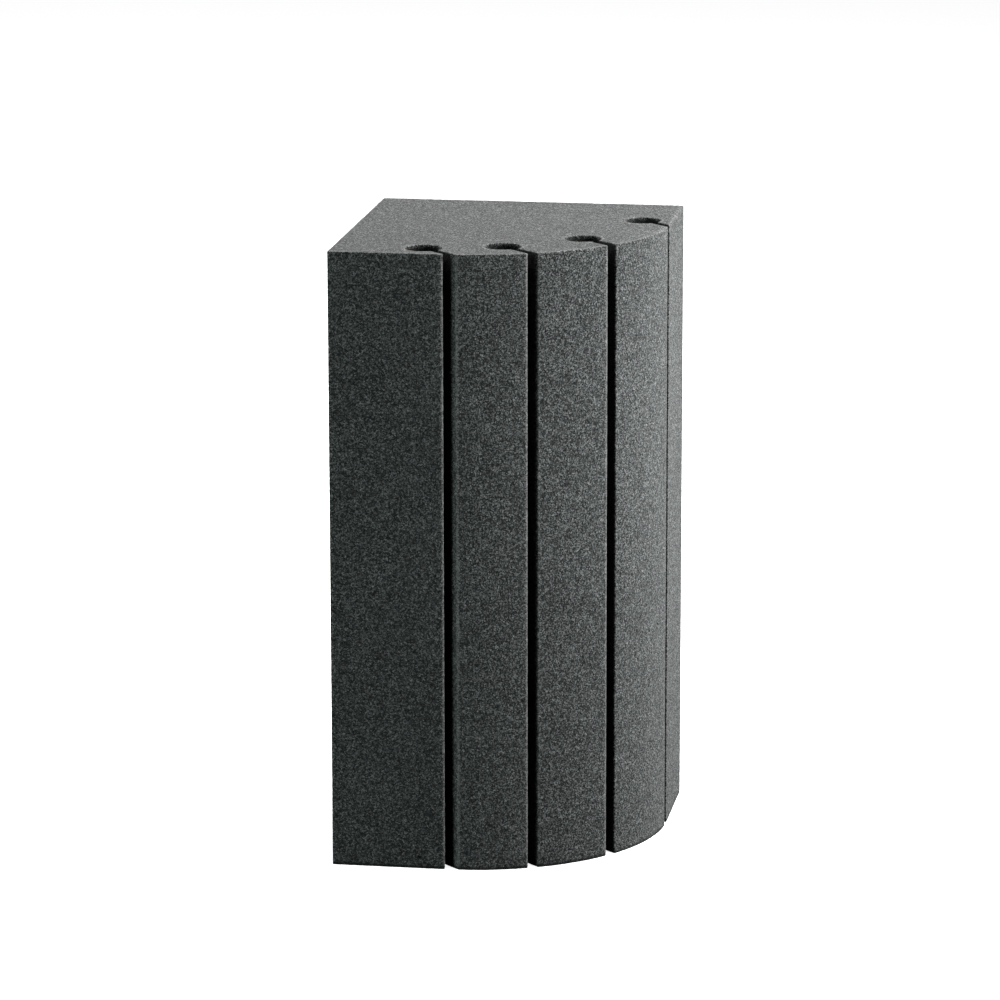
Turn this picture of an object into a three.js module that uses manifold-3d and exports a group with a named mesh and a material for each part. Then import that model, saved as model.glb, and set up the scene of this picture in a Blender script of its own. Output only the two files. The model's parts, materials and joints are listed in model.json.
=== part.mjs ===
// A corner bass trap of open-cell foam, in millimetres, +Z up.
// In plan it is a square block whose front corner is a quarter round. The two flat walls
// at the back, on -X and +Y, go into the corner of a room. Four full-height keyhole slots
// run in from the front, parallel to the diagonal: each is a slit that ends in a round hole.
// The foam is one block. It is divided here along a line through the holes, into the core
// behind the slots and the five fins between them.
// Origin: centre of the bottom of the bounding box, on the floor.

import * as THREE from "three";
import { mergeVertices } from "three/addons/utils/BufferGeometryUtils.js";
import Module from "manifold-3d";

// Driving dimensions
const SIDE = 304.8; // each wall face, 12 in
const HEIGHT = 609.6; // 24 in
const FRONT_RADIUS = 190.5; // the quarter round at the front, 7.5 in
const FLAT = SIDE - FRONT_RADIUS; // the flat part of each front face, 4.5 in
const HOLE_DIAMETER = 36;
const JOINT_GAP = 0.3; // between the core and each fin
const ARC_STEPS = 48; // along the quarter round
const HOLE_STEPS = 48; // round each hole

// The slots, from the left one to the right one. Across is the distance from the block's
// diagonal, positive to the right, and out is the distance along the diagonal from the
// corner of the room.
const SLOTS = [
  { across: -131.3, width: 8.6, holeAcross: -131.5, holeOut: 256.1 },
  { across: -63.9, width: 9.2, holeAcross: -65.0, holeOut: 293.6 },
  { across: 23.3, width: 10.6, holeAcross: 22.1, holeOut: 305.8 },
  { across: 131.5, width: 8.2, holeAcross: 130.3, holeOut: 259.6 },
];

const HALF = SIDE / 2;
const R2 = Math.SQRT2;

// Plan position of a point given by its distances out along the diagonal and across it
const plan = (out, across) =>
  new THREE.Vector2((out + across) / R2 - HALF, (across - out) / R2 + HALF);

const wasm = await Module();
wasm.setup();

// A closed geometry as a solid, and back again
function toSolid(geometry) {
  const bare = geometry.index ? geometry.toNonIndexed() : geometry.clone();
  bare.deleteAttribute("normal");
  bare.deleteAttribute("uv");
  const merged = mergeVertices(bare, 1e-4);
  return new wasm.Manifold(
    new wasm.Mesh({
      numProp: 3,
      vertProperties: new Float32Array(merged.attributes.position.array),
      triVerts: new Uint32Array(merged.index.array),
    }),
  );
}

function toGeometry(solid) {
  const made = solid.getMesh();
  const geometry = new THREE.BufferGeometry();
  geometry.setAttribute(
    "position",
    new THREE.BufferAttribute(new Float32Array(made.vertProperties), 3),
  );
  geometry.setIndex(new THREE.BufferAttribute(new Uint32Array(made.triVerts), 1));
  const flat = geometry.toNonIndexed();
  flat.computeVertexNormals();
  return flat;
}

// A plan outline raised from low to high
function raise(shape, low, high) {
  const geometry = new THREE.ExtrudeGeometry(shape, {
    depth: high - low,
    bevelEnabled: false,
    steps: 1,
    curveSegments: ARC_STEPS,
  });
  geometry.translate(0, 0, low);
  return geometry;
}

const polygon = (points) => new THREE.Shape(points);

// The whole block: wall faces on -X and +Y, flat fronts on -Y and +X, quarter round between
const outline = new THREE.Shape();
outline.moveTo(-HALF, -HALF);
outline.lineTo(-HALF + FLAT, -HALF);
outline.absarc(
  -HALF + FLAT,
  HALF - FLAT,
  FRONT_RADIUS,
  -Math.PI / 2,
  0,
  false,
);
outline.lineTo(HALF, HALF);
outline.lineTo(-HALF, HALF);
outline.lineTo(-HALF, -HALF);
let foam = toSolid(raise(outline, 0, HEIGHT));

// The keyhole slots, cut right through from below the floor face to above the top face
const OVER = 10;
for (const slot of SLOTS) {
  const centre = plan(slot.holeOut, slot.holeAcross);
  const hole = new THREE.CylinderGeometry(
    HOLE_DIAMETER / 2,
    HOLE_DIAMETER / 2,
    HEIGHT + 2 * OVER,
    HOLE_STEPS,
    1,
  );
  hole.rotateX(Math.PI / 2);
  hole.translate(centre.x, centre.y, HEIGHT / 2);
  foam = foam.subtract(toSolid(hole));

  const half = slot.width / 2;
  const slit = polygon([
    plan(slot.holeOut, slot.across - half),
    plan(400, slot.across - half),
    plan(400, slot.across + half),
    plan(slot.holeOut, slot.across + half),
  ]);
  foam = foam.subtract(toSolid(raise(slit, -OVER, HEIGHT + OVER)));
}

// The line through the hole centres that parts the core from the fins. Its ends run
// straight out to the left wall face and to the back wall face.
const holes = SLOTS.map((slot) => plan(slot.holeOut, slot.holeAcross));
const BEYOND = 40;
const line = [
  new THREE.Vector2(-HALF - BEYOND, holes[0].y),
  ...holes,
  new THREE.Vector2(holes[3].x, HALF + BEYOND),
];

// The same line moved sideways: towards the room's corner for the core, and away for the fins
function moved(points, distance) {
  return points.map((p, i) => {
    const normals = [];
    for (const [a, b] of [
      [points[i - 1], p],
      [p, points[i + 1]],
    ]) {
      if (!a || !b) continue;
      const along = b.clone().sub(a).normalize();
      normals.push(new THREE.Vector2(-along.y, along.x));
    }
    const mean = normals
      .reduce((sum, n) => sum.add(n), new THREE.Vector2())
      .normalize();
    return p.clone().addScaledVector(mean, distance / mean.dot(normals[0]));
  });
}
const coreLine = moved(line, JOINT_GAP / 2);
const finLine = moved(line, -JOINT_GAP / 2);

const inCore = polygon([
  ...coreLine,
  new THREE.Vector2(-HALF - BEYOND, HALF + BEYOND),
]);

// Each fin lies between the middle lines of its two slots, outside the parting line
const far = (slot) => plan(460, slot.across);
const finRegions = [
  [
    finLine[0],
    finLine[1],
    far(SLOTS[0]),
    new THREE.Vector2(-HALF - BEYOND, -HALF - 160),
  ],
  [finLine[1], finLine[2], far(SLOTS[1]), far(SLOTS[0])],
  [finLine[2], finLine[3], far(SLOTS[2]), far(SLOTS[1])],
  [finLine[3], finLine[4], far(SLOTS[3]), far(SLOTS[2])],
  [
    finLine[4],
    finLine[5],
    new THREE.Vector2(HALF + 160, HALF + BEYOND),
    far(SLOTS[3]),
  ],
];

const finNames = [
  "left_end_fin",
  "left_front_fin",
  "middle_front_fin",
  "right_front_fin",
  "right_end_fin",
];

// Charcoal foam: very matte, no metal
const foamMaterial = () =>
  new THREE.MeshStandardMaterial({
    color: 0x4a4d4d,
    roughness: 0.97,
    metalness: 0,
  });

function node(name, region) {
  const piece = foam.intersect(toSolid(raise(region, -OVER, HEIGHT + OVER)));
  const mesh = new THREE.Mesh(toGeometry(piece), foamMaterial());
  mesh.name = name;
  return mesh;
}

const group = new THREE.Group();
group.name = "corner_bass_trap";
group.add(node("corner_core", inCore));
finRegions.forEach((region, i) => {
  group.add(node(finNames[i], polygon(region)));
});

export default group;
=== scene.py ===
"""A corner bass trap: one block of charcoal open-cell foam, cut on a contour saw.

The block is modelled as a skin over the six solids of the frame. Neighbouring pieces meet on
the same points, so that the foam runs on across them without a seam. The cell structure of the
cut surface is in the mesh, and the finest of it in the material.

Plan dimensions are in millimetres, as in the frame's own drawing, and become metres when a
mesh is made.
"""

import json
import math

import bpy
import numpy as np
from mathutils import Matrix, Vector
from mathutils.geometry import delaunay_2d_cdt

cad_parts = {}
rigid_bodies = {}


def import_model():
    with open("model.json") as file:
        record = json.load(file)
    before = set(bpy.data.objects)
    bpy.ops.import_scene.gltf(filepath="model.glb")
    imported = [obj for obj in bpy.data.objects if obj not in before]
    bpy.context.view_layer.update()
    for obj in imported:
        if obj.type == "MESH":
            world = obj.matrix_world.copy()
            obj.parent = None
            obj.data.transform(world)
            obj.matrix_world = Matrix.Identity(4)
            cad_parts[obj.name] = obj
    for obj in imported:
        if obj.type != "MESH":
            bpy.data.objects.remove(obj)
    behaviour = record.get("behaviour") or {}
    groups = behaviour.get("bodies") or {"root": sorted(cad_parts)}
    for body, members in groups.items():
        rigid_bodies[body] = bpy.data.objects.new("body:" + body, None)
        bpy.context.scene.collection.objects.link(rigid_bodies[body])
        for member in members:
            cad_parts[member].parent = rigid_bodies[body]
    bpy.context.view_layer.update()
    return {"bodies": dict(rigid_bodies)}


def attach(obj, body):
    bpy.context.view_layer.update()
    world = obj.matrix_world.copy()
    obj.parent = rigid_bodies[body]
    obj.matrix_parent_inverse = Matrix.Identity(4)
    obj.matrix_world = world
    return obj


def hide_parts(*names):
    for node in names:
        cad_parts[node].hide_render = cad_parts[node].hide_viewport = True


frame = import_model()

# ---------------------------------------------------------------------------------------
# Plan of the block, in millimetres

SIDE = 304.8
HEIGHT = 609.6
FRONT_RADIUS = 190.5
HOLE_RADIUS = 18.0
# For each slot: distance of its slit from the block's diagonal, width of the slit, and the
# distances of its hole from the diagonal and, along it, from the corner of the room
SLOTS = (
    (-131.3, 8.6, -131.5, 256.1),
    (-63.9, 9.2, -65.0, 293.6),
    (23.3, 10.6, 22.1, 305.8),
    (131.5, 8.2, 130.3, 259.6),
)
HALF = SIDE / 2
ARC_CENTRE = np.array([HALF - FRONT_RADIUS, FRONT_RADIUS - HALF])
R2 = math.sqrt(2)

# Radii of the cut edges: the top and bottom edges, the sharp lip of 45 degrees at the left and
# the one at the right, the lips nearer to square on a slit's left and right, the two blunt
# ones, the block's square corners, and the edges between slit and hole
EDGE_RADIUS = 0.9
SHARP_LIP = 1.1
RIGHT_SHARP_LIP = 0.6
LEFT_LIP = 2.1
LIP = 1.2
BLUNT_LIP = 2.0
SQUARE = 1.2
HOLE_LIP = 1.6
EDGE_STEPS = 3
LIP_HIGHLIGHT_WIDTH = 1.2  # how far from a rounded corner its painted highlight reaches
CLEAN_WIDTH = 4.0  # and how far the cut is cleaner
RIM_HIGHLIGHT_WIDTH = 5.0  # and how far the painted highlight reaches on the ends of the block, from its front and from the holes

# Spacing of the mesh, which follows the size of the foam's cells on the front
FRONT_STEP = 1.3
SLIT_STEP = 1.5
HOLE_STEP = 1.7
END_WALL_STEP = 1.7
WALL_STEP = 3.2
CORE_HOLE_STEP = 2.4
PART_STEP = 2.0
ROWS = 466  # of the fins; the core has every second one
TOP_STEP, CORE_TOP_STEP = 1.45, 1.75
BOTTOM_STEP, CORE_BOTTOM_STEP = 2.2, 2.9


def plan(out, across):
    """The plan point at these distances along the diagonal and across it."""
    return np.array([(out + across) / R2 - HALF, (across - out) / R2 + HALF])


def mouth(across):
    """Where a line parallel to the diagonal leaves the front of the block."""
    flat = HALF * 2 * R2 - abs(across)
    point = plan(flat, across)
    if (point[0] if across < 0 else -point[1]) <= (
        ARC_CENTRE[0] if across < 0 else -ARC_CENTRE[1]
    ):
        return point
    middle = (ARC_CENTRE[0] - ARC_CENTRE[1] + 2 * HALF) / R2
    return plan(middle + math.sqrt(FRONT_RADIUS**2 - across**2), across)


holes = [plan(out, across) for _, _, across, out in SLOTS]


class Line:
    """A straight stretch of the outline. The foam is on its left."""

    def __init__(self, start, end, step):
        self.start, self.end, self.step = np.array(start), np.array(end), step
        self.length = float(np.linalg.norm(self.end - self.start))

    def at(self, s):
        return self.start + (self.end - self.start) * (s / self.length)

    def along(self, s):
        return (self.end - self.start) / self.length


class Arc:
    """A round stretch of the outline, from one angle to another. The foam is on its left."""

    def __init__(self, centre, radius, first, last, step):
        self.centre, self.radius, self.step = np.array(centre), radius, step
        self.first, self.turn = first, last - first
        self.length = abs(self.turn) * radius

    def at(self, s):
        a = self.first + self.turn * s / self.length
        return self.centre + self.radius * np.array([math.cos(a), math.sin(a)])

    def along(self, s):
        a = self.first + self.turn * s / self.length
        return np.array([-math.sin(a), math.cos(a)]) * math.copysign(1, self.turn)


def angle(centre, point):
    return math.atan2(point[1] - centre[1], point[0] - centre[0])


def clockwise(centre, start, end, step):
    """The stretch of a hole from one point on it to another, with the foam outside it."""
    a, b = angle(centre, start), angle(centre, end)
    while b >= a - 1e-9:
        b -= 2 * math.pi
    return Arc(centre, HOLE_RADIUS, a, b, step)


def slot_shade(points):
    """From 0 to 1, the painted shade on the plan points of a slot's walls: it grows with depth
    in the slit and is full on the hole's wall.
    """
    out = (points[:, 0] - points[:, 1] + SIDE) / R2
    across = (points[:, 0] + points[:, 1]) / R2
    deep = np.zeros(len(points))
    for i, (middle, width, _, hole_out) in enumerate(SLOTS):
        edges = (middle - width / 2, middle + width / 2)
        level = min((p[0] - p[1] + SIDE) / R2 for p in map(mouth, edges))
        for edge in edges:
            on = (np.abs(across - edge) < 0.01) & (out > hole_out + HOLE_RADIUS - 1.5)
            deep[on] = np.clip((level - out[on] + 1.0) / 4.0, 0, 1)
        gap = np.abs(np.linalg.norm(points - holes[i], axis=1) - HOLE_RADIUS)
        deep[gap < 0.01] = 1
    return deep


def near_rim(points):
    """From 0 to 1, how near plan points lie to the front of the block or the rim of a hole."""
    x, y = points[:, 0], points[:, 1]
    gap = np.where(
        x <= ARC_CENTRE[0],
        y + HALF,
        np.where(
            y >= ARC_CENTRE[1],
            HALF - x,
            FRONT_RADIUS - np.linalg.norm(points - ARC_CENTRE, axis=1),
        ),
    )
    for hole in holes:
        gap = np.minimum(gap, np.abs(np.linalg.norm(points - hole, axis=1) - HOLE_RADIUS))
    return np.clip(1.15 - np.abs(gap) / RIM_HIGHLIGHT_WIDTH, 0, 1)


def chain(parts, rounding):
    """The outline along stretches that follow each other, with each corner between two of them
    rounded: points, outward normals, distances, whether a point may shift sideways, how far in
    the top edge's rounding may reach, the painted light, from 1 for the strongest painted
    highlight on a rounded lip to -1 for painted shade deep in a slot and on a hole's wall, and
    how clean the cut is there, from 0 to 1. The rounding is a radius and the strength of the
    painted highlight for each corner."""
    points, normals, free, reach, bends = [], [], [], [], []
    corners = []
    for i, (radius, _) in enumerate(rounding):
        a, b = parts[i].along(parts[i].length), parts[i + 1].along(0.0)
        half = math.acos(max(-1.0, min(1.0, float(a @ b)))) / 2
        corners.append((radius, half, radius * math.tan(half)))

    def add(point, along, loose, most):
        along = along / np.linalg.norm(along)
        points.append(point)
        normals.append((along[1], -along[0]))
        free.append(loose)
        reach.append(min(EDGE_RADIUS, most))

    for i, part in enumerate(parts):
        before = corners[i - 1][2] if i else 0.0
        after = corners[i][2] if i < len(parts) - 1 else 0.0
        steps = max(2, round((part.length - before - after) / part.step))
        for k in range(steps + 1):
            s = before + (part.length - before - after) * k / steps
            most = EDGE_RADIUS
            if i:
                most = min(most, 0.8 * s / math.tan(corners[i - 1][1]))
            if i < len(parts) - 1:
                most = min(most, 0.8 * (part.length - s) / math.tan(corners[i][1]))
            add(part.at(s), part.along(s), 0 < k < steps, most)
        if i < len(parts) - 1:
            radius, half, cut = corners[i]
            nxt = parts[i + 1]
            a, b, corner = part.at(part.length - cut), nxt.at(cut), part.at(part.length)
            weight = math.cos(half)

            def bend(t):
                share = np.array([(1 - t) ** 2, 2 * t * (1 - t) * weight, t * t])
                return (share[:, None] * np.array([a, corner, b])).sum(0) / share.sum()

            steps = max(2, round(2 * half * radius / 0.7))
            bends.append((len(points) - 1, len(points) + steps - 1, rounding[i][1]))
            for k in range(1, steps):
                t = k / steps
                add(bend(t), bend(t + 1e-3) - bend(t - 1e-3), False, 0.8 * radius)
    points, normals = np.array(points), np.array(normals)
    run = np.r_[0, np.cumsum(np.linalg.norm(np.diff(points, axis=0), axis=1))]
    # Painted shade deep in the slots and on the holes' walls, then painted highlight on the lips
    highlight_and_shade, clean = -slot_shade(points), np.zeros(len(points))
    for first, last, highlight in bends:
        away = np.maximum(np.maximum(run[first] - run, run - run[last]), 0)
        lip_highlight = np.maximum(highlight_and_shade, highlight * (1 - away / LIP_HIGHLIGHT_WIDTH))
        highlight_and_shade = np.where((away < LIP_HIGHLIGHT_WIDTH) & (highlight > 0), lip_highlight, highlight_and_shade)
        if highlight > 0:
            clean = np.maximum(clean, 1 - away / CLEAN_WIDTH)
    return points, normals, run, np.array(free), np.array(reach), highlight_and_shade, clean


def lips(i):
    """The two edges of a slit at the front, and where its two walls meet the hole."""
    across, width, hole_across, hole_out = SLOTS[i]
    found = []
    for side in (-1, 1):
        a = across + side * width / 2
        reach = math.sqrt(HOLE_RADIUS**2 - (a - hole_across) ** 2)
        found.append((mouth(a), plan(hole_out + reach, a)))
    return found


LIPS = [lips(i) for i in range(4)]
WEST = holes[0] - (HOLE_RADIUS, 0)
NORTH = holes[3] + (0, HOLE_RADIUS)


def towards(i, j):
    """The point of hole i that faces hole j."""
    way = holes[j] - holes[i]
    return holes[i] + way * (HOLE_RADIUS / np.linalg.norm(way))


# The parting lines, from the left wall to the back wall. Both sides use the same points.
ends = [
    ((-HALF, holes[0][1]), WEST),
    (towards(0, 1), towards(1, 0)),
    (towards(1, 2), towards(2, 1)),
    (towards(2, 3), towards(3, 2)),
    (NORTH, (holes[3][0], HALF)),
]
PARTING = []
for start, end in ends:
    start, end = np.array(start, float), np.array(end, float)
    # The top edge's rounding runs out over the first stretch of the line at each end
    steps = max(4, round((np.linalg.norm(end - start) - 2 * EDGE_RADIUS) / PART_STEP))
    unit = (end - start) / np.linalg.norm(end - start)
    first, last = start + unit * EDGE_RADIUS, end - unit * EDGE_RADIUS
    PARTING.append(
        np.array([first + (last - first) * (k / steps) for k in range(1, steps)])
    )

front_angle = lambda p: angle(ARC_CENTRE, p)
# Each rounding below is a radius and the strength of the painted highlight on that corner, given
# lip by lip
PIECES = {}
PIECES["left_end_fin"] = {
    "chains": [
        chain(
            [
                Line((-HALF, holes[0][1]), (-HALF, -HALF), END_WALL_STEP),
                Line((-HALF, -HALF), LIPS[0][0][0], FRONT_STEP),
                Line(*LIPS[0][0], SLIT_STEP),
                clockwise(holes[0], LIPS[0][0][1], WEST, HOLE_STEP),
            ],
            [(SQUARE, 0.1), (SHARP_LIP, 1.0), (HOLE_LIP, 0.0)],
        )
    ],
    "parting": [(0, -1)],
}
for i, name in enumerate(("left_front_fin", "middle_front_fin", "right_front_fin")):
    left, right = LIPS[i][1], LIPS[i + 1][0]
    PIECES[name] = {
        "chains": [
            chain(
                [
                    clockwise(holes[i], towards(i, i + 1), left[1], HOLE_STEP),
                    Line(left[1], left[0], SLIT_STEP),
                    Arc(
                        ARC_CENTRE,
                        FRONT_RADIUS,
                        front_angle(left[0]),
                        front_angle(right[0]),
                        FRONT_STEP,
                    ),
                    Line(right[0], right[1], SLIT_STEP),
                    clockwise(holes[i + 1], right[1], towards(i + 1, i), HOLE_STEP),
                ],
                [
                    (HOLE_LIP, 0.0),
                    (BLUNT_LIP if i == 0 else LIP, (1.0, 0.35, 0.12)[i]),
                    ((LIP, LEFT_LIP, BLUNT_LIP)[i], (1.1, 0.85, 0.2)[i]),
                    (HOLE_LIP, 0.0),
                ],
            )
        ],
        "parting": [(i + 1, -1)],
    }
PIECES["right_end_fin"] = {
    "chains": [
        chain(
            [
                clockwise(holes[3], NORTH, LIPS[3][1][1], HOLE_STEP),
                Line(LIPS[3][1][1], LIPS[3][1][0], SLIT_STEP),
                Line(LIPS[3][1][0], (HALF, HALF), FRONT_STEP),
                Line((HALF, HALF), (holes[3][0], HALF), END_WALL_STEP),
            ],
            [(HOLE_LIP, 0.0), (RIGHT_SHARP_LIP, 0.55), (SQUARE, 0.1)],
        )
    ],
    "parting": [(4, -1)],
}
around = [WEST, *[towards(i, i + 1) for i in range(3)], NORTH]
PIECES["corner_core"] = {
    "chains": [
        chain(
            [
                Line((holes[3][0], HALF), (-HALF, HALF), WALL_STEP),
                Line((-HALF, HALF), (-HALF, holes[0][1]), WALL_STEP),
            ],
            [(SQUARE, 0.1)],
        ),
        *[
            chain(
                [
                    clockwise(
                        holes[i],
                        WEST if i == 0 else towards(i, i - 1),
                        NORTH if i == 3 else towards(i, i + 1),
                        CORE_HOLE_STEP,
                    )
                ],
                [],
            )
            for i in range(4)
        ],
    ],
    "parting": [(i, 1) for i in range(5)],
}

# ---------------------------------------------------------------------------------------
# The cut surface of the foam


def lattice(x, y, z, seed):
    """A number from 0 to 1 for each point of a whole-number lattice, the same every run."""
    mask = np.uint64(0xFFFFFFFF)
    h = (
        (x.astype(np.int64).astype(np.uint64) * np.uint64(0x9E3779B1))
        ^ (y.astype(np.int64).astype(np.uint64) * np.uint64(0x85EBCA77))
        ^ (z.astype(np.int64).astype(np.uint64) * np.uint64(0xC2B2AE3D))
        ^ np.uint64(seed * 0x27D4EB2F)
    ) & mask
    for shift, by in ((15, 0x2C1B3C6D), (12, 0x297A2D39), (15, 0x5BD1E995)):
        h ^= h >> np.uint64(shift)
        h = (h * np.uint64(by)) & mask
    h ^= h >> np.uint64(16)
    return h.astype(float) / 0xFFFFFFFF


def grain(p, seed):
    """A number from 0 to 1 for each point by itself, the same for points in the same place."""
    x, y, z = np.floor(p.T * 50 + 0.5)
    return lattice(x, y, z, seed)


def swell(p, size, seed):
    """Smooth noise from -1 to 1 with hills about size apart."""
    q = p / size
    i = np.floor(q)
    f = q - i
    f = f * f * (3 - 2 * f)
    total = np.zeros(len(p))
    for dx in (0, 1):
        for dy in (0, 1):
            for dz in (0, 1):
                weight = (
                    (f[:, 0] if dx else 1 - f[:, 0])
                    * (f[:, 1] if dy else 1 - f[:, 1])
                    * (f[:, 2] if dz else 1 - f[:, 2])
                )
                total += weight * lattice(i[:, 0] + dx, i[:, 1] + dy, i[:, 2] + dz, seed)
    return 2 * total - 1


RIM_HIGHLIGHT = 0.40  # strength of the painted highlight along the rims of the ends
END_RELIEF = 0.55  # relief of the ends, as a share of the sides'

# A small torn pore near the foot of the left end fin's front: its place and radius
PORE = np.array([-66.0, -HALF, 11.0])


def depth(p):
    """How far the foam's surface lies under its nominal one at each point, in millimetres."""
    cells = grain(p, 1)
    pits = np.clip((grain(p, 2) - 0.93) / 0.07, 0, 1)
    sunk = 0.62 * cells**1.5 + 0.48 * pits
    sunk += 0.03 * swell(p, 4.3, 3)
    # The saw's slow wander, which is longer up the block than across it
    wander = p * (1, 1, 0.45)
    sunk += 0.10 * swell(wander, 38.0, 4) + 0.06 * swell(wander, 16.0, 5) + 0.2
    near = np.linalg.norm((p - PORE) * (1, 1, 1.15), axis=1)
    sunk += 2.2 * np.clip(1 - (near / 2.6) ** 2, 0, 1)
    return sunk - 0.58


def body_rows():
    return np.linspace(EDGE_RADIUS, HEIGHT - EDGE_RADIUS, ROWS + 1)


def upright(points, normals, run, free, reach, highlight_and_shade, clean, every, number):
    """The wall over one chain, as rows by columns, the length of foam up to each row, and the
    painted light on each point: highlight above 0 and shade below 0."""
    tilt = np.linspace(0, math.pi / 2, EDGE_STEPS + 1)[1:]
    rise, inset = EDGE_RADIUS * np.sin(tilt), 1 - np.cos(tilt)
    body = body_rows()[::every]
    z = np.r_[(EDGE_RADIUS - rise)[::-1], body, HEIGHT - EDGE_RADIUS + rise]
    in_by = np.r_[inset[::-1], np.zeros(len(body)), inset]
    lean = np.r_[-tilt[::-1], np.zeros(len(body)), tilt]
    up = np.r_[0, np.cumsum(np.hypot(np.diff(z), np.diff(in_by) * EDGE_RADIUS))]
    flat = points[None] - normals[None] * (in_by[:, None] * reach[None])[:, :, None]
    p = np.concatenate([flat, np.broadcast_to(z[:, None, None], (*flat.shape[:2], 1))], 2)
    n = np.concatenate(
        [
            normals[None] * np.cos(lean)[:, None, None],
            np.broadcast_to(np.sin(lean)[:, None, None], (*flat.shape[:2], 1)),
        ],
        2,
    )
    # The points of the wall shift a little, so that they don't lie in rows
    shape = p.shape[:2]
    loose = np.zeros(shape)
    loose[EDGE_STEPS + 1 : -EDGE_STEPS - 1] = free[None]
    loose[:, (0, -1)] = 0
    tangent = np.stack([-normals[:, 1], normals[:, 0]], 1)
    gap = np.minimum(np.r_[np.diff(run), 9], np.r_[9, np.diff(run)])
    keys = p.reshape(-1, 3)
    a, b = (grain(keys, s).reshape(shape) * 2 - 1 for s in (11 + number, 31 + number))
    p[:, :, :2] += (
        tangent[None] * (a * loose * gap[None] * 0.3)[:, :, None]
    )
    p[:, :, 2] += b * loose * (body[1] - body[0]) * 0.3
    # The ends of the block are cut finer than its sides, and its sharp edges cleaner
    finer = 1 - (1 - END_RELIEF) * np.abs(np.sin(lean))
    sunk = depth(p.reshape(-1, 3)).reshape(shape) * finer[:, None] * (1 - 0.6 * clean[None])
    made = p - n * sunk[:, :, None]
    made[:, :, 2] = np.maximum(made[:, :, 2], 0.02)
    # The painted shade in holes and slits fades out near the top and bottom, a little way down
    # a hole and hardly down a slit, as light reaches in from the ends
    gaps = [np.abs(np.linalg.norm(points - hole, axis=1) - HOLE_RADIUS) for hole in holes]
    lit = np.where(np.min(gaps, axis=0) < 0.01, 1.0, 0.2)
    shade = (np.minimum(z, HEIGHT - z)[:, None] - lit[None]) / (2.5 * lit[None] + 0.3)
    painted_light_and_shade = np.where(highlight_and_shade[None] > 0, highlight_and_shade[None], highlight_and_shade[None] * np.clip(shade, 0, 1))
    # Painted highlight along the rims of the top, and painted shade along the foot
    edge = RIM_HIGHLIGHT * near_rim(points)
    for k in range(EDGE_STEPS):
        painted_light_and_shade[-1 - k] = np.maximum(painted_light_and_shade[-1 - k], edge * (1.5, 1.2, 0.4)[k])
    # Painted shade over the lowest 4 mm of the wall, full near the floor
    foot = np.clip((3.9 - z) / 1.8, 0, 1)[:, None]
    painted_light_and_shade = painted_light_and_shade * (1 - foot) - foot
    # The torn pore gets painted shade, with a lighter strand over it
    near = np.linalg.norm((p - PORE) * (0.8, 1, 1.6), axis=2)
    painted_light_and_shade = np.where(near < 3.4, -np.clip(2.1 - near / 1.7, 0, 1), painted_light_and_shade)
    painted_light_and_shade = np.where(np.linalg.norm(p - PORE - (0.6, 0, 2.4), axis=2) < 1.0, 0.9, painted_light_and_shade)
    if every == 1:  # the core's wall meets this one at every second row
        first, last = EDGE_STEPS, len(z) - EDGE_STEPS - 1
        odd = np.arange(first + 1, last, 2)
        for column in (0, -1):
            made[odd, column] = (made[odd - 1, column] + made[odd + 1, column]) / 2
    return made, up, painted_light_and_shade


def inside(points, loop):
    """Which points lie inside a closed plan line."""
    x, y = points[:, 0], points[:, 1]
    found = np.zeros(len(points), bool)
    for (ax, ay), (bx, by) in zip(loop, np.roll(loop, -1, axis=0), strict=True):
        crosses = (ay > y) != (by > y)
        at = ax + (y - ay) * (bx - ax) / (by - ay if by != ay else 1)
        found ^= crosses & (x < at)
    return found


def clear_of(points, loop, least):
    """Which points are at least that far from every point of a plan line."""
    kept = np.ones(len(points), bool)
    for start in range(0, len(points), 2000):
        block = points[start : start + 2000]
        gap = np.linalg.norm(block[:, None] - loop[None], axis=2).min(1)
        kept[start : start + 2000] = gap > least
    return kept


def fill(loop, extra=None):
    """Triangles that fill a closed line of plane points, with extra points inside it."""
    corners = loop if extra is None else np.r_[loop, extra]
    count = len(loop)
    edges = [(k, (k + 1) % count) for k in range(count)]
    _, _, faces, origin, _, _ = delaunay_2d_cdt(
        [Vector(p) for p in corners], edges, [], 1, 1e-6
    )
    faces = np.array([o[0] for o in origin])[np.array(faces)]
    a, b, c = (corners[faces[:, k]] for k in range(3))
    area = (b - a)[:, 0] * (c - a)[:, 1] - (b - a)[:, 1] * (c - a)[:, 0]
    faces[area < 0] = faces[area < 0][:, ::-1]
    return faces[np.abs(area) > 1e-9]


def cap(loop, step, z, up, number):
    """A flat end of the block inside a plan line: the new points, and triangles that index
    the line's points and then the new ones."""
    low, high = loop.min(0), loop.max(0)
    rows = int((high[1] - low[1]) / (step * 0.866)) + 2
    columns = int((high[0] - low[0]) / step) + 2
    j, i = np.mgrid[0:rows, 0:columns]
    grid = np.stack(
        [low[0] + (i + 0.5 * (j % 2)) * step, low[1] + j * step * 0.866], -1
    ).reshape(-1, 2)
    key = np.c_[grid, np.full(len(grid), z)]
    shift = np.stack([grain(key, 51 + number), grain(key, 71 + number)], 1) * 2 - 1
    grid = grid + shift * step * 0.25
    grid = grid[inside(grid, loop)]
    grid = grid[clear_of(grid, loop, 0.62 * step)]
    faces = fill(loop, grid)
    p = np.c_[grid, np.full(len(grid), z)]
    level(p, up)
    return p, faces if up else faces[:, ::-1]


def level(p, up):
    """Sinks points of a flat end in place. The bottom one stays above the floor."""
    p[:, 2] -= depth(p) * END_RELIEF * (1 if up else -1)
    p[:, 2] = np.maximum(p[:, 2], 0.02)


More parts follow.
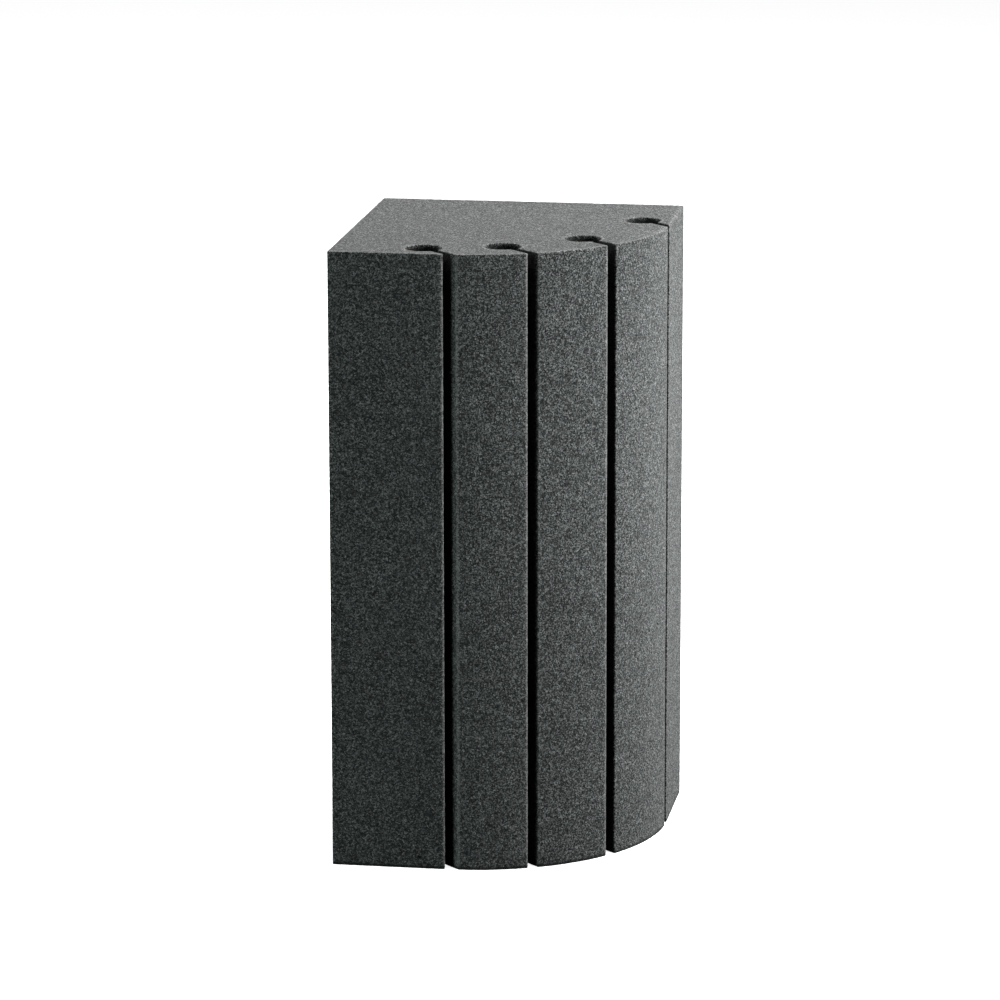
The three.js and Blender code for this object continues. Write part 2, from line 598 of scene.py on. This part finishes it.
def skin(name, spec, number):
    """One piece of the block as a closed mesh, with a map for its textures."""
    core = name == "corner_core"
    every = 2 if core else 1
    points, faces, islands, sharp, painted_light_and_shade = [], [], [], [], []
    count = 0

    def lay(new, highlight_and_shade):
        nonlocal count
        points.append(new)
        painted_light_and_shade.append(highlight_and_shade)
        first, count = count, count + len(new)
        return first

    def island(role, face, uv, is_sharp=False):
        faces.append(face)
        islands.append((role, uv.reshape(-1, face.shape[1], 2)))
        sharp.append(np.full(len(face), is_sharp))

    rings = {"top": [], "bottom": []}
    seams = []
    for outline in spec["chains"]:
        made, up, highlight_and_shade = upright(*outline, every, number)
        rows, columns = made.shape[:2]
        first = lay(made.reshape(-1, 3), highlight_and_shade.ravel())
        index = first + np.arange(rows * columns).reshape(rows, columns)
        at = np.stack(np.meshgrid(outline[2], up), -1)
        quads, uv = (
            np.stack([g[:-1, :-1], g[:-1, 1:], g[1:, 1:], g[1:, :-1]], 2)
            for g in (index, at)
        )
        island("hole" if core and seams else "wall", quads.reshape(-1, 4), uv)
        rings["top"].append((index[-1], made[-1]))
        rings["bottom"].append((index[0], made[0]))
        seams.append((index[:, 0], index[:, -1]))

    # The flat ends. The line round each is chain, parting line, chain, and so on.
    lines = {}
    for end, z in (("top", HEIGHT), ("bottom", 0.0)):
        order, flat, lines[end] = [], [], []
        for (index, at), (which, way) in zip(rings[end], spec["parting"], strict=True):
            line = PARTING[which][::way]
            p = np.c_[line, np.full(len(line), z)]
            level(p, end == "top")
            new = lay(p, RIM_HIGHLIGHT * near_rim(p[:, :2])) + np.arange(len(p))
            lines[end].append(new)
            order += [index, new]
            flat += [at[:, :2], line]
        loop_index, loop = np.concatenate(order), np.concatenate(flat)
        steps = {"top": (TOP_STEP, CORE_TOP_STEP), "bottom": (BOTTOM_STEP, CORE_BOTTOM_STEP)}
        p, tris = cap(loop, steps[end][core], z, end == "top", number)
        index = np.r_[loop_index, lay(p, RIM_HIGHLIGHT * near_rim(p[:, :2])) + np.arange(len(p))]
        where = np.r_[loop, p[:, :2]] * (1 if end == "top" else (-1, 1))
        island(end, index[tris], where[tris])

    # Plain walls on the parting lines, which no view shows, close the piece
    every_point = np.concatenate(points)
    for k in range(len(seams)):
        left, right = seams[k][1], seams[(k + 1) % len(seams)][0]
        low, high = EDGE_STEPS + 1, len(left) - EDGE_STEPS - 2
        quads = np.stack(
            [left[low:high], right[low:high], right[low + 1 : high + 1], left[low + 1 : high + 1]],
            -1,
        )
        unit = np.array([(0, 0), (1, 0), (1, 1), (0, 1)], float)
        uv = unit[None] + np.arange(high - low)[:, None, None] * (0, 1)
        island("part", quads, uv, True)
        for end in ("top", "bottom"):
            if end == "top":
                rim = np.r_[right[high:], lines[end][k][::-1], left[high:][::-1]]
            else:
                rim = np.r_[left[: low + 1][::-1], lines[end][k], right[: low + 1]]
            origin = every_point[left[low]]
            way = every_point[right[low]] - origin
            way[2] = 0
            way /= np.linalg.norm(way)
            rel = every_point[rim] - origin
            flat = np.c_[rel @ way, rel[:, 2]]
            tris = fill(flat)
            island("lid", rim[tris], flat[tris], True)

    places = lay_out(islands, core)
    return np.concatenate(points), faces, places, sharp, np.concatenate(painted_light_and_shade)


def lay_out(islands, core):
    """The islands' places on the map, from 0 to 1: the upright strips over the full height or
    most of it, and the flat ends beside or above them."""
    if core:
        boxes = {
            "wall": [(0.006, 0.006, 0.722, 0.612)],
            "hole": [(0.738 + 0.065 * k, 0.006, 0.055, 0.612) for k in range(4)],
            "top": [(0.006, 0.628, 0.366, 0.366)],
            "bottom": [(0.384, 0.628, 0.366, 0.366)],
            "part": [(0.765 + 0.028 * k, 0.628, 0.018, 0.33) for k in range(5)],
            "lid": [(0.765 + 0.022 * k, 0.972, 0.014, 0.016) for k in range(10)],
        }
    else:
        boxes = {
            "wall": [(0.006, 0.006, 0.548, 0.988)],
            "top": [(0.566, 0.506, 0.36, 0.488)],
            "bottom": [(0.566, 0.006, 0.36, 0.488)],
            "part": [(0.94, 0.07, 0.05, 0.92)],
            "lid": [(0.94, 0.006 + 0.03 * k, 0.05, 0.018) for k in range(2)],
        }
    placed = []
    for role, uv in islands:
        x, y, width, height = boxes[role].pop(0)
        low, high = uv.reshape(-1, 2).min(0), uv.reshape(-1, 2).max(0)
        size = np.array([width, height]) / np.maximum(high - low, 1e-9)
        if role in ("top", "bottom"):
            size[:] = size.min()
        placed.append((uv - low) * size + (x, y))
    return placed


def to_object(name, made):
    points, faces, places, sharp, painted_light_and_shade = made
    mesh = bpy.data.meshes.new(name)
    listed = [f for block in faces for f in block.tolist()]
    mesh.from_pydata((points / 1000).tolist(), [], listed)
    layer = mesh.uv_layers.new(name="OFBake")
    layer.uv.foreach_set(
        "vector", np.concatenate([p.reshape(-1, 2) for p in places]).astype(np.float32).ravel()
    )
    mesh.polygons.foreach_set("use_smooth", ~np.concatenate(sharp))
    # The painted highlight and shade of each point, for the material
    mesh.attributes.new("painted_highlight_shade", "FLOAT", "POINT").data.foreach_set("value", painted_light_and_shade)
    mesh.update()
    obj = bpy.data.objects.new(name, mesh)
    bpy.context.scene.collection.objects.link(obj)
    return obj


# ---------------------------------------------------------------------------------------
# Foam material


class Tree:
    """A short way to write a node tree."""

    def __init__(self, material):
        self.tree = material.node_tree
        self.tree.nodes.clear()

    def node(self, kind, **values):
        made = self.tree.nodes.new(kind)
        for key, value in values.items():
            setattr(made, key, value)
        return made

    def put(self, socket, value):
        if isinstance(value, bpy.types.NodeSocket):
            self.tree.links.new(value, socket)
        else:
            socket.default_value = value

    def maths(self, operation, a, b=0.0, clamp=False):
        made = self.node("ShaderNodeMath", operation=operation, use_clamp=clamp)
        self.put(made.inputs[0], a)
        self.put(made.inputs[1], b)
        return made.outputs[0]

    def spread(self, value, low, high, to_low, to_high, smooth=False):
        made = self.node("ShaderNodeMapRange", clamp=True)
        if smooth:
            made.interpolation_type = "SMOOTHSTEP"
        for k, v in enumerate((value, low, high, to_low, to_high)):
            self.put(made.inputs[k], v)
        return made.outputs[0]

    def noise(self, where, scale, detail=2.0, rough=0.5):
        made = self.node("ShaderNodeTexNoise")
        self.put(made.inputs["Vector"], where)
        made.inputs["Scale"].default_value = scale
        made.inputs["Detail"].default_value = detail
        made.inputs["Roughness"].default_value = rough
        return made.outputs["Fac"]

    def voronoi(self, where, scale, feature="F1", smooth=None):
        made = self.node("ShaderNodeTexVoronoi", feature=feature)
        self.put(made.inputs["Vector"], where)
        made.inputs["Scale"].default_value = scale
        if smooth is not None:
            made.inputs["Smoothness"].default_value = smooth
        return made


def foam_material():
    material = bpy.data.materials.new("charcoal_foam")
    material.use_nodes = True
    t = Tree(material)
    coordinates = t.node("ShaderNodeTexCoord")
    where = coordinates.outputs["Object"]

    # Cells of 1 to 2 mm: some open to the surface as dark pores, the rest a net of lighter
    # struts, with no two alike
    cells = t.voronoi(where, 850.0)
    tone = t.node("ShaderNodeSeparateColor")
    t.put(tone.inputs[0], cells.outputs["Color"])
    fine = t.voronoi(where, 1550.0)
    fine_tone = t.node("ShaderNodeSeparateColor")
    t.put(fine_tone.inputs[0], fine.outputs["Color"])
    cell_tone = t.maths(
        "ADD",
        t.maths("MULTIPLY", tone.outputs[0], 0.58),
        t.maths("MULTIPLY", fine_tone.outputs[1], 0.42),
    )
    pit = t.spread(cells.outputs["Distance"], 0.05, 0.55, 0.0, 1.0, True)
    slow = t.noise(where, 30.0, 3.0, 0.55)
    very_slow = t.noise(where, 7.0, 2.0, 0.5)

    # Colour: charcoal with a slight green cast, deeper in the pores. The point attribute brings
    # painted highlight along the cut edges and the rims of the top, and painted shade in the
    # slots, the holes and the torn pore and along the foot. Faces turned upwards are painted a
    # little darker: painted shade on the top.
    split = t.node("ShaderNodeSeparateXYZ")
    t.put(split.inputs[0], coordinates.outputs["Normal"])
    # Painted shade on the top: faces turned upwards get a little darker, while the bottom keeps
    # its colour
    ends = t.spread(split.outputs[2], 0.6, 0.95, 1.0, 0.82)
    edge = t.node("ShaderNodeAttribute", attribute_name="painted_highlight_shade").outputs["Fac"]
    even = t.spread(edge, 0.05, 0.7, 1.0, 0.42)
    shade = t.maths("POWER", t.maths("MULTIPLY", cell_tone, 2.0), t.maths("MULTIPLY", 3.1, even))
    shade = t.maths("MULTIPLY", shade, ends)
    shade = t.maths("MULTIPLY", shade, t.spread(pit, 0.0, 1.0, 0.72, 1.06))
    # Painted highlight where the attribute is above 0, and painted shade, down to a tenth, where
    # it is below 0
    shade = t.maths("MULTIPLY", shade, t.spread(edge, 0.0, 1.2, 1.0, 4.1))
    shade = t.maths("MULTIPLY", shade, t.spread(edge, -1.0, 0.0, 0.1, 1.0))
    shade = t.maths("MULTIPLY", shade, t.spread(slow, 0.3, 0.7, 0.965, 1.035))
    shade = t.maths("MULTIPLY", shade, t.spread(very_slow, 0.35, 0.65, 0.965, 1.035))
    # The painted highlights are tinted a little less green than the foam
    tint = t.node("ShaderNodeMix", data_type="RGBA")
    t.put(tint.inputs["Factor"], t.spread(edge, 0.0, 0.6, 0.0, 1.0))
    tint.inputs["A"].default_value = (*FOAM_COLOUR, 1)
    tint.inputs["B"].default_value = (*HIGHLIGHT_COLOUR, 1)
    colour = t.node("ShaderNodeMix", data_type="RGBA", blend_type="MULTIPLY")
    colour.inputs["Factor"].default_value = 1.0
    t.put(colour.inputs["A"], tint.outputs["Result"])
    grey = t.node("ShaderNodeCombineColor")
    for k in range(3):
        t.put(grey.inputs[k], shade)
    t.put(colour.inputs["B"], grey.outputs[0])

    # Height of the finest structure: pores, and open cells that each lean their own way
    place = t.node("ShaderNodeVectorMath", operation="SUBTRACT")
    t.put(place.inputs[0], where)
    t.put(place.inputs[1], cells.outputs["Position"])
    lean = t.node("ShaderNodeCombineXYZ")
    t.put(lean.inputs[0], t.maths("SUBTRACT", tone.outputs[1], 0.5))
    t.put(lean.inputs[1], t.maths("SUBTRACT", tone.outputs[2], 0.5))
    t.put(lean.inputs[2], t.maths("SUBTRACT", tone.outputs[1], tone.outputs[2]))
    leaning = t.node("ShaderNodeVectorMath", operation="DOT_PRODUCT")
    t.put(leaning.inputs[0], place.outputs[0])
    t.put(leaning.inputs[1], lean.outputs[0])
    height = t.maths(
        "ADD",
        t.maths("MULTIPLY", pit, 0.65),
        t.maths("MULTIPLY", fine.outputs["Distance"], 0.35),
    )
    height = t.maths("ADD", height, t.maths("MULTIPLY", leaning.outputs["Value"], 900.0))
    bump = t.node("ShaderNodeBump")
    bump.inputs["Strength"].default_value = 0.7
    bump.inputs["Distance"].default_value = 0.0012
    t.put(bump.inputs["Height"], height)

    shader = t.node("ShaderNodeBsdfPrincipled")
    t.put(shader.inputs["Base Color"], colour.outputs["Result"])
    t.put(shader.inputs["Roughness"], t.spread(cell_tone, 0.0, 1.0, 1.0, 0.86))
    t.put(shader.inputs["Normal"], bump.outputs[0])
    shader.inputs["Specular IOR Level"].default_value = 0.18
    shader.inputs["Sheen Weight"].default_value = 0.10
    shader.inputs["Sheen Roughness"].default_value = 0.6
    out = t.node("ShaderNodeOutputMaterial")
    t.tree.links.new(shader.outputs[0], out.inputs["Surface"])
    return material


FOAM_COLOUR = (0.0422, 0.0434, 0.0428)
HIGHLIGHT_COLOUR = (0.0446, 0.0429, 0.0425)  # of the painted highlights, less green
foam = foam_material()
for number, (name, spec) in enumerate(PIECES.items()):
    obj = to_object(name + "_foam", skin(name, spec, number))
    obj.data.materials.append(foam)
    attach(obj, list(frame["bodies"])[0])
    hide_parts(name)

# ---------------------------------------------------------------------------------------
# Stage: a pale studio floor that curves up far behind everything, soft lights and the camera


def stage():
    profile = [(0.0, 0.0), (2.0, 0.0), (6.0, 0.0), (11.0, 0.0)]
    for k in range(1, 13):
        a = k / 12 * math.pi / 2
        profile.append((11.0 + 3.5 * math.sin(a), 3.5 - 3.5 * math.cos(a)))
    profile.append((14.5, 9.0))
    turns = 72
    points = [(0.0, 0.0, 0.0)]
    for r, z in profile[1:]:
        for k in range(turns):
            a = 2 * math.pi * k / turns
            points.append((r * math.cos(a), r * math.sin(a), z))
    faces = [(0, 1 + k, 1 + (k + 1) % turns) for k in range(turns)]
    for ring in range(len(profile) - 2):
        a = 1 + ring * turns
        for k in range(turns):
            n = (k + 1) % turns
            faces.append((a + k, a + turns + k, a + turns + n, a + n))
    mesh = bpy.data.meshes.new("studio_floor")
    mesh.from_pydata(points, [], faces)
    mesh.polygons.foreach_set("use_smooth", [True] * len(mesh.polygons))
    floor = bpy.data.objects.new("studio_floor", mesh)
    bpy.context.scene.collection.objects.link(floor)
    material = bpy.data.materials.new("studio_paint")
    material.use_nodes = True
    shader = material.node_tree.nodes["Principled BSDF"]
    shader.inputs["Base Color"].default_value = (0.86, 0.86, 0.86, 1)
    shader.inputs["Roughness"].default_value = 0.95
    shader.inputs["Specular IOR Level"].default_value = 0.1
    shader.inputs["Emission Color"].default_value = (1, 1, 1, 1)
    shader.inputs["Emission Strength"].default_value = 0.92
    mesh.materials.append(material)
    floor.visible_diffuse = False
    floor.visible_glossy = False
    return floor


def area_light(name, place, aim, size, power):
    light = bpy.data.lights.new(name, "AREA")
    light.shape = "RECTANGLE"
    light.size, light.size_y = size
    light.energy = power
    obj = bpy.data.objects.new(name, light)
    bpy.context.scene.collection.objects.link(obj)
    obj.location = place
    way = Vector(aim) - Vector(place)
    obj.rotation_mode = "QUATERNION"
    obj.rotation_quaternion = way.to_track_quat("-Z", "Y")
    obj.visible_camera = False
    return obj


floor = stage()
COOL, FRESH, PLAIN = (0.86, 1.065, 1.01), (0.96, 1.012, 1.01), (1.0, 1.0, 1.0)
LIGHTS = {
    "left_softbox": ((-2.643, -1.716, 0.856), (0, 0, 0.3), 1.2, 48.4, COOL),
    "left_rear_softbox": ((-2.905, 1.057, 1.128), (0, 0, 0.3), 1.2, 50.0, PLAIN),
    "rear_softbox": ((0.514, 1.412, 3.125), (0, 0, 0.3), 1.2, 234.4, PLAIN),
    "rear_right_softbox": ((1.1, 0.9, 0.5), (0, 0, 0.3), 0.5, 17.2, PLAIN),
    "right_low_softbox": ((0.75, -0.3, 0.35), (0, 0, 0.3), 0.3, 3.2, FRESH),
    "right_high_softbox": ((0.8, -0.25, 0.8), (0, 0, 0.3), 0.3, 9.5, FRESH),
}
for name, (place, aim, size, power, colour) in LIGHTS.items():
    area_light(name, place, aim, (size, size), power).data.color = colour

world = bpy.data.worlds.new("studio_air")
world.use_nodes = True
world.node_tree.nodes["Background"].inputs["Color"].default_value = (1, 1, 1, 1)
world.node_tree.nodes["Background"].inputs["Strength"].default_value = 0.01
bpy.context.scene.world = world
bpy.context.scene.view_settings.view_transform = "Standard"

camera_data = bpy.data.cameras.new("camera")
camera_data.lens, camera_data.sensor_width = 186.8, 36.0
camera_data.clip_start, camera_data.clip_end = 0.1, 60.0
camera = bpy.data.objects.new("camera", camera_data)
bpy.context.scene.collection.objects.link(camera)
yaw, pitch, roll = (math.radians(a) for a in (-9.029, 13.019, 0.094))
ahead = Vector(
    (math.sin(yaw) * math.cos(pitch), math.cos(yaw) * math.cos(pitch), -math.sin(pitch))
)
right = Vector((math.cos(yaw), -math.sin(yaw), 0))
down = ahead.cross(right)
right, down = (
    right * math.cos(roll) + down * math.sin(roll),
    down * math.cos(roll) - right * math.sin(roll),
)
camera.matrix_world = Matrix.Translation((0.7745, -4.9369, 1.4922)) @ Matrix(
    (
        (right.x, -down.x, -ahead.x),
        (right.y, -down.y, -ahead.y),
        (right.z, -down.z, -ahead.z),
    )
).to_4x4()
bpy.context.scene.camera = camera
